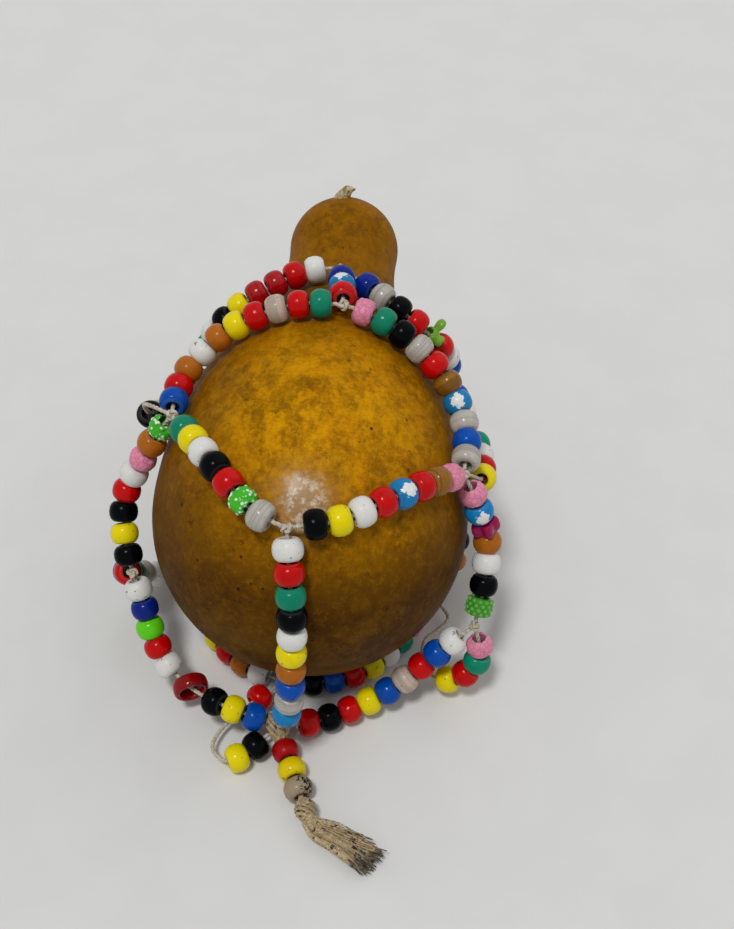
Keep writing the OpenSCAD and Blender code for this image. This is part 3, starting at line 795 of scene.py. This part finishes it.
def knotRoute():
    reach, turns, loops = knotLook["reach"], knotLook["turns"], knotLook["loops"]
    made = []
    for i in range(knotLook["points"] + 1):
        t = fullTurn * i / knotLook["points"]
        r = reach * (1 + knotLook["swell"] * cos(loops * t))
        lift = knotLook["waves"] * reach * sin(loops * t)
        made.append(Vector((r * cos(turns * t), r * sin(turns * t), lift)))
    return made


def turnedTo(route, place, axis, spin):
    turn = axis.to_track_quat("Z", "Y").to_matrix() @ Matrix.Rotation(spin, 3, "Z")
    return [place + turn @ p for p in route]


rng = random.Random(5)
crossings = [collarTop, collarRight, collarLeft, collarBelow, row1Top, row1Right, row1Left, row1Below,
             row2Left, row2Right, row2BelowRight, row2BelowLeft, row3Top, row3Right, row3Left, row3Below]
hitches = []
for crossing in crossings:
    axis = Vector((rng.uniform(-1, 1), rng.uniform(-1, 1), 1.2)).normalized()
    hitches.append(turnedTo(knotRoute(), crossing, axis, rng.uniform(0, 6)))
layTwine("netKnots", hitches, knotLook["twine"], cotton, "net", "cotton", "net_knots")


def yarns(route, count, spread, turns):  # yarns laid side by side round one route
    made = []
    for k in range(count):
        line = []
        for i, p in enumerate(route):
            along = (route[min(i + 1, len(route) - 1)] - route[max(i - 1, 0)]).normalized()
            side = along.cross(upward).normalized()
            a = fullTurn * (k / count + turns * i / len(route))
            line.append(p + spread * (side * cos(a) + side.cross(along) * sin(a)))
        made.append(line)
    return made


# the gathering knot: two bundles of jute bent over each other
gatherLook = {"yarns": 6, "spread": 1.35, "turns": 0.4,
              "bends": (((-3.1, 3.0, -1.2), (-2.3, 0.4, 1.6), (-0.6, -2.4, 0.8), (1.4, -4.4, -1.6)),
                        ((2.6, 2.9, -0.6), (2.2, 0.2, 1.8), (2.2, -2.2, 1.0), (1.9, -4.4, -1.6))),
              "twine": {"Turns Per Metre": 130.0, "Step": 0.6 * mm}}
gatherRoutes = []
for bend in gatherLook["bends"]:
    route = smoothPath([gather + Vector(p) for p in bend])
    gatherRoutes += yarns(route, gatherLook["yarns"], gatherLook["spread"], gatherLook["turns"])
layTwine("gatherKnot", gatherRoutes, gatherLook["twine"], jute, "net", "jute", "gather_knot")
print("knots tied")


# the odd beads, each built about its own hinge
ringLook = {"bore": 7.2, "outer": 11.4, "length": 4.5, "roundness": 0.8, "rounds": 28, "segments": 56,
            "finish": dict(name="clearRedPlastic", colour=(218, 14, 22), dark=0.8, clear=0.12, milky=0.2,
                           rough=0.12)}
flowerLook = {"bore": 3.6, "outer": 8.3, "length": 5.4, "roundness": 0.8, "rounds": 26, "segments": 70,
              "petals": 5, "depth": 0.15, "petalsFrom": 2.2, "petalsOver": 1.6,
              "finish": dict(name="magentaPlastic", colour=(242, 22, 120), dark=0.78, clear=0.05, milky=0.15,
                             rough=0.1)}
hiveLook = {"bore": 3.6, "outer": 7.9, "length": 5.9, "roundness": 0.75, "rounds": 24, "segments": 44,
            "rows": 4, "studs": 11, "swell": 0.55, "studSink": 0.12,
            "finish": dict(name="hiveGreenPlastic", colour=(96, 240, 56), dark=0.72, clear=0.05, milky=0.1,
                           rough=0.1)}
# the studs are painted paler than the bead: painted highlights on its ridges
studLook = {"sizes": {"Stud": 1.5 * mm, "Segments": 10, "Rings": 7, "Size Spread": 0.1, "Seed": 4},
            "finish": dict(name="studPlastic", colour=(158, 250, 118), dark=0.85, clear=0.05, milky=0.1,
                           rough=0.08)}
charmLook = {"bore": 3.6, "outer": 6.2, "length": 3.0, "roundness": 0.7, "rounds": 20, "segments": 36,
             "root": 1.9, "reach": 7.0, "petal": 2.0, "spread": 42.0, "thin": 0.5, "straight": 0.6,
             "dish": 0.3, "petalRings": 24, "petalSides": 20,
             "finish": dict(name="limeCharmPlastic", colour=(170, 244, 78), dark=0.8, milky=0.15, rough=0.2)}


def beadShell(look, wave=None):  # a rounded ring, with its outline waved where asked
    bore, outer = look["bore"], look["outer"]
    rows = []
    for t in circle(look["rounds"]):
        side = math.copysign(abs(cos(t)) ** look["roundness"], cos(t))
        lift = math.copysign(abs(sin(t)) ** look["roundness"], sin(t))
        r, h = (outer + bore) / 4 + side * (outer - bore) / 4, lift * look["length"] / 2
        row = []
        for a in circle(look["segments"]):
            reach = r * (wave(a, r) if wave else 1.0)
            row.append(Vector((reach * cos(a), reach * sin(a), h)))
        rows.append(row)
    return shellOf(bmesh.new(), rows, True)


def hingeSpot(name, facing):
    place, along = Vector(joints[name]["pos_m"]), Vector(joints[name]["axis"]).normalized()
    x = (facing - along * facing.dot(along)).normalized()
    turn = Matrix((x, along.cross(x), along)).transposed()
    return Matrix.Translation(place) @ turn.to_4x4()


def setBead(name, bm, spot, look, body, slot, node):  # keeps each untouched place for the finish, then moves
    mesh = meshOf(name, bm)
    local = mesh.attributes.new("beadPlace", "FLOAT_VECTOR", "POINT")
    tones = mesh.attributes.new("beadTone", "FLOAT", "POINT")
    for i, v in enumerate(mesh.vertices):
        local.data[i].vector = v.co
        tones.data[i].value = 0.2
    mesh.transform(spot)
    settle(addPiece(name, mesh, plastic(**look["finish"])), body, slot, node)


def flowerWave(a, r):
    share = min(1, max(0, (r - flowerLook["petalsFrom"]) / flowerLook["petalsOver"]))
    return 1 + flowerLook["depth"] * cos(flowerLook["petals"] * a) * share


def addPetals(bm):  # each petal swells from the hub to its round end
    n, straight = charmLook["petalRings"], charmLook["straight"]
    for way in (-1, 1):
        turn = Matrix.Rotation(radians(way * charmLook["spread"]), 3, "Z")
        rows = []
        for s in (i / n for i in range(1, n)):
            tip = sqrt(1 - max(0.0, (s - straight) / (1 - straight)) ** 2)
            wide = charmLook["petal"] * min(1.0, 0.68 + 0.6 * s) * tip
            out = charmLook["root"] + (charmLook["reach"] - charmLook["root"]) * s
            row = []
            for a in circle(charmLook["petalSides"]):
                hollow = charmLook["dish"] * wide * (cos(a) ** 2 - 0.5)  # dips between raised edges
                p = Vector((out, wide * cos(a), wide * charmLook["thin"] * sin(a) + hollow))
                row.append(turn @ p)
            rows.append(row)
        shellOf(bm, rows, False)


def studTree():  # one small round stud on every given point
    kit, given = newTree("studRows", studLook["sizes"])
    ball = kit.node("GeometryNodeMeshUVSphere", {}, {"Segments": given["Segments"], "Rings": given["Rings"],
                                                     "Radius": given["Stud"] / 2.0})
    sizes = chance(kit, 1.0 - given["Size Spread"], 1.0, given["Seed"])
    return endTree(kit, given, onPoints(kit, given, ball, {"Scale": sizes}))


ringSpot = hingeSpot("ring_turn", towardCamera)
flowerSpot = hingeSpot("flower_turn", towardCamera)
hiveSpot = hingeSpot("beehive_turn", towardCamera)
flowerShell = beadShell(flowerLook, flowerWave)
setBead("ringBead", beadShell(ringLook), ringSpot, ringLook, "ring", "red", "ring_bead")
setBead("flowerBead", flowerShell, flowerSpot, flowerLook, "flower", "magenta", "flower_bead")
setBead("beehiveBead", beadShell(hiveLook), hiveSpot, hiveLook, "beehive", "glitter", "beehive_bead")
studPlaces = []
for row in range(hiveLook["rows"]):
    height = (row - (hiveLook["rows"] - 1) / 2) * hiveLook["length"] / (hiveLook["rows"] + 0.4)
    swell = 1 - hiveLook["swell"] * (height / hiveLook["length"]) ** 2
    reach = hiveLook["outer"] / 2 * swell - hiveLook["studSink"]
    for k in range(hiveLook["studs"]):
        t = fullTurn * (k + 0.5 * (row % 2)) / hiveLook["studs"]
        p = hiveSpot @ (Vector((reach * cos(t), reach * sin(t), height)) * mm)
        studPlaces.append((p / mm, upward))
strew("beehiveStuds", studPlaces, studTree(), {}, plastic(**studLook["finish"]), "beehive", "glitter")

charmPlace = Vector(joints["charm_swing"]["pos_m"]) / mm - gourdCentre
charmSpot = hingeSpot("charm_swing", charmPlace - gourdAxis * charmPlace.dot(gourdAxis))
charmShell = beadShell(charmLook)
addPetals(charmShell)
setBead("petalCharm", charmShell, charmSpot, charmLook, "charm", "lime", "petal_charm")
print("odd beads set")


# the dry stalk on the neck: a twisted twig, torn off and leaning over
stemLook = {"radius": 2.9, "narrow": 0.76, "length": 4.8, "sunk": 0.4, "from": -1.7, "lean": 3.3,
            "twist": 1.4, "flutes": 7, "flute": 0.1, "tear": 0.3, "tearScale": 2.6, "slope": 0.45,
            "blunt": 0.24, "dish": 0.9, "segments": 72, "rings": 14, "endRings": 6}


def stalkFinish():
    f = Finish("dryStalk", (136, 112, 74), **{"Specular IOR Level": 0.2})
    fibres = f.grain(900.0, 4.0, 0.65, f.vec("MULTIPLY", alongGourd(f), (1.0, 0.12, 1.0)))
    f.paint(f.rise(fibres, 0.36, 0.66), (214, 196, 160))
    f.paint(f.rise(f.grain(260.0), 0.56, 0.7) * 0.6, (82, 60, 34))
    return f.done(fibres * 0.2 + 0.72, fibres, 0.0006, 0.9)


def makeStem():
    tilt = radians(gourd["stemTilt"])
    way = gourdAxis * cos(tilt) + gourdTop * sin(tilt)
    side = gourdTop * cos(tilt) - gourdAxis * sin(tilt)
    foot = gourdCentre + gourdAxis * gourd["neckReach"]
    foot += way * sqrt(gourd["neckRadius"] ** 2 - gourd["scarRadius"] ** 2)
    rings, narrow = stemLook["rings"], stemLook["narrow"]
    rows = []
    for i in range(rings + stemLook["endRings"]):
        up = min(1.0, i / rings)
        inward = 1 - max(0, i - rings) / (stemLook["endRings"] + 0.5)
        thick = stemLook["radius"] * (narrow + (1 - narrow) * (1 - up) ** 2) * inward
        thick *= 1 - stemLook["blunt"] * up ** 6  # no sharp rim
        middle = foot + Vector((stemLook["from"] + stemLook["lean"] * up ** 1.3, 0, 0))
        row = []
        for t in circle(stemLook["segments"]):
            rib = t + stemLook["twist"] * up
            r = thick * (1 + stemLook["flute"] * cos(stemLook["flutes"] * rib + 0.7 * sin(2 * rib)))
            edge = Vector((cos(t), sin(t), 0)) * stemLook["tearScale"]
            torn = stemLook["tear"] * (0.5 + 0.9 * noise.noise(edge) + 0.35 * noise.noise(edge * 4))
            torn += stemLook["slope"] * (1 + sin(t))  # broken off slantwise
            h = stemLook["length"] * up - torn * up ** 2 - stemLook["dish"] * (1 - inward) - stemLook["sunk"]
            row.append(middle + way * h + r * (side * cos(t) + Vector((sin(t), 0, 0))))
        rows.append(row)
    mesh = meshOf("stemStub", shellOf(bmesh.new(), rows, False))
    settle(addPiece("stemStub", mesh, stalkFinish()), "gourd", "stalk", "stem_stub")


makeStem()


# dried seeds inside the belly
seedLook = {"count": 14, "depth": 44.5, "spread": 9.0, "lean": 20.0, "golden": 137.5,
            "sizes": {"Length": 9.0 * mm, "Thickness": 3.0 * mm, "Slimness": 0.62, "Taper": 0.2}}


def seedTree():
    kit, given = newTree("seedScatter", seedLook["sizes"])
    ball = kit.node("GeometryNodeMeshUVSphere", {}, {"Segments": 20, "Rings": 12, "Radius": 1.0})
    x, y, z = kit.split(kit.node("GeometryNodeInputPosition"))
    half = given["Length"] / 2.0
    wide = half * given["Slimness"] * (1.0 - x.size() * given["Taper"])
    shaped = kit.join(x * half, y * wide, z * given["Thickness"] / 2.0)
    seed = kit.node("GeometryNodeSetPosition", {}, {0: ball, "Position": shaped})
    return endTree(kit, given, onPoints(kit, given, seed, {"Rotation": beadAxis(kit)}))


def seedFinish():
    f = Finish("drySeed", (150, 118, 74), **{"Specular IOR Level": 0.3})
    vein = f.grain(420.0, 4.0, 0.6)
    f.paint(f.rise(vein, 0.35, 0.7), (206, 184, 140))
    return f.done(vein * 0.2 + 0.55, vein, 0.0003, 0.6)


seedPlaces = []
for i in range(seedLook["count"]):
    b = radians(180 - seedLook["spread"] * sqrt(i + 0.5))
    c = radians(i * seedLook["golden"])
    d = Vector((sin(b) * cos(c), sin(b) * sin(c), cos(b)))
    d = Matrix.Rotation(radians(-seedLook["lean"]), 3, "X") @ d
    seedPlaces.append((gourdCentre + d * seedLook["depth"], d))
strew("driedSeeds", seedPlaces, seedTree(), {}, seedFinish(), "seeds", "seed", "dried_seeds")
print("stalk and seeds made")


# tassel: three beads, a wound knot and a frayed end
tassel = {"direction": (9.0, -20.0, 0.0), "knotRadius": 3.6, "knotTurns": 5, "knotPitch": 1.2,
          "knotSlant": 38.0, "knotPoints": 48, "knotLap": 3, "core": (-3.3, -1.2, 1.2, 3.4), "coreYarns": 6,
          "coreSpread": 1.35, "coreTurns": 0.15, "fringeLength": 23.5, "fringeSunk": 0.4, "fringeRoot": 2.1,
          "fringeTip": 4.8, "fringeBend": 30.0, "yarnShare": (0.86, 1.0), "hairShare": (0.6, 1.06),
          "yarns": 30, "hairs": 260, "curl": 2.5, "sag": 0.9, "lowest": 0.8, "beadLength": 6.2,
          "twine": {"Diameter": 2.0 * mm, "Turns Per Metre": 160.0},
          "knot": {"Diameter": 1.3 * mm, "Turns Per Metre": 120.0, "Step": 0.5 * mm},
          "yarn": {"Diameter": 1.4 * mm, "Turns Per Metre": 90.0, "Step": 0.8 * mm},
          "hair": {"Diameter": 0.42 * mm, "Turns Per Metre": 40.0, "Step": 1.4 * mm, "Plies": 1, "Sides": 5}}
tasselBeads = {
    "red": (8.5, dict(colour=(178, 6, 8), specks=0.5, rough=0.3)),
    "yellow": (8.9, dict(colour=(236, 208, 4), dark=0.86, specks=0.6)),
    "speckled": (9.2, dict(colour=(168, 150, 124), dark=0.85, milky=0.2, grit=38.0, rough=0.2)),
}
tasselWay = Vector(tassel["direction"]).normalized()
tasselStart = Vector((gather.x, gather.y, beadRadius))
tasselFirst = gatherR + netSizes["shellGap"] + netSizes["knotPlay"]
tasselEnd = tasselFirst + len(tasselBeads) * beadPitch + netSizes["knotPlay"]


def onTassel(d):
    return tasselStart + tasselWay * d


for i, (slot, (across, look)) in enumerate(tasselBeads.items()):
    piece = "tassel%sBead" % slot.capitalize()
    places = [(onTassel(tasselFirst + (i + 0.5) * beadPitch), tasselWay)]
    values = {"Seed": 40 + i, "Size Spread": 0.0, "Length": tassel["beadLength"] * mm,
              "Outer Diameter": across * mm}
    mat = plastic(piece + "Plastic", **look)
    strew(piece, places, ponyBead, values, mat, "tassel", slot, "tassel_%s_bead" % slot)

string = [onTassel(d) for d in (gatherR + netSizes["shellGap"], tasselFirst + 10, tasselEnd + 0.6)]
layTwine("tasselTwine", [smoothPath(string)], tassel["twine"], jute, "tassel", "jute", "tassel_twine")

knotAt = onTassel(tasselEnd + tassel["knotRadius"])
slant = radians(tassel["knotSlant"])
facing = tasselWay * cos(slant) + tasselWay.cross(upward) * sin(slant)
first = facing.cross(upward).normalized()
second = facing.cross(first)
windings = []
for k in range(tassel["knotTurns"]):  # turns laid side by side slantwise round the end
    lift = (k - (tassel["knotTurns"] - 1) / 2) * tassel["knotPitch"]
    reach = sqrt((tassel["knotRadius"] - tassel["knot"]["Diameter"] / mm / 2) ** 2 - lift ** 2)
    angles = [fullTurn * (i / tassel["knotPoints"] + k / tassel["knotTurns"])
              for i in range(tassel["knotPoints"] + tassel["knotLap"])]
    middle = knotAt + facing * lift
    windings.append([middle + reach * (first * cos(a) + second * sin(a)) for a in angles])
core = [knotAt + tasselWay * d for d in tassel["core"]]
windings += yarns(core, tassel["coreYarns"], tassel["coreSpread"], tassel["coreTurns"])
layTwine("tasselKnot", windings, tassel["knot"], jute, "tassel", "jute", "tassel_knot")

fringeRoot = onTassel(tasselEnd + 2 * tassel["knotRadius"] - tassel["fringeSunk"])
fringeWay = Matrix.Rotation(radians(tassel["fringeBend"]), 3, "Z") @ tasselWay
fringeSide = fringeWay.cross(upward)
rng = random.Random(17)


def fringeLine(spreadA, spreadB, reach, wander, points=9):
    made = []
    drift = (rng.uniform(-1, 1), rng.uniform(-1, 1))
    for i in range(points):
        t = i / (points - 1)
        ease = t * t * (3 - 2 * t)
        along = tasselWay.lerp(fringeWay, min(1, 2.5 * t)).normalized()
        wide = tassel["fringeRoot"] + (tassel["fringeTip"] - tassel["fringeRoot"]) * t
        aside = spreadA * wide + wander * drift[0] * sin(4 * t) - tassel["curl"] * ease * t
        p = fringeRoot + along * (reach * t) + fringeSide * aside
        height = beadRadius - tassel["sag"] * ease + spreadB * (2.0 + 1.5 * t)
        p.z = max(tassel["lowest"], height + wander * drift[1] * sin(3 * t))
        made.append(p)
    return made


def discPoint():
    a, r = rng.uniform(0, fullTurn), sqrt(rng.random())
    return r * cos(a), r * sin(a)


yarnLines = [fringeLine(*discPoint(), tassel["fringeLength"] * rng.uniform(*tassel["yarnShare"]), 0.5)
             for k in range(tassel["yarns"])]
hairLines = [fringeLine(*discPoint(), tassel["fringeLength"] * rng.uniform(*tassel["hairShare"]), 1.3)
             for k in range(tassel["hairs"])]
burntJute = fibre("burntJute", pale=(214, 194, 152), deep=(160, 132, 92), specks=0.95, burnt=0.9)
layTwine("tasselFringe", yarnLines, tassel["yarn"], burntJute, "tassel", "jute", "tassel_fringe")
layTwine("tasselHairs", hairLines, tassel["hair"], burntJute, "tassel", "jute")
print("tassel made")
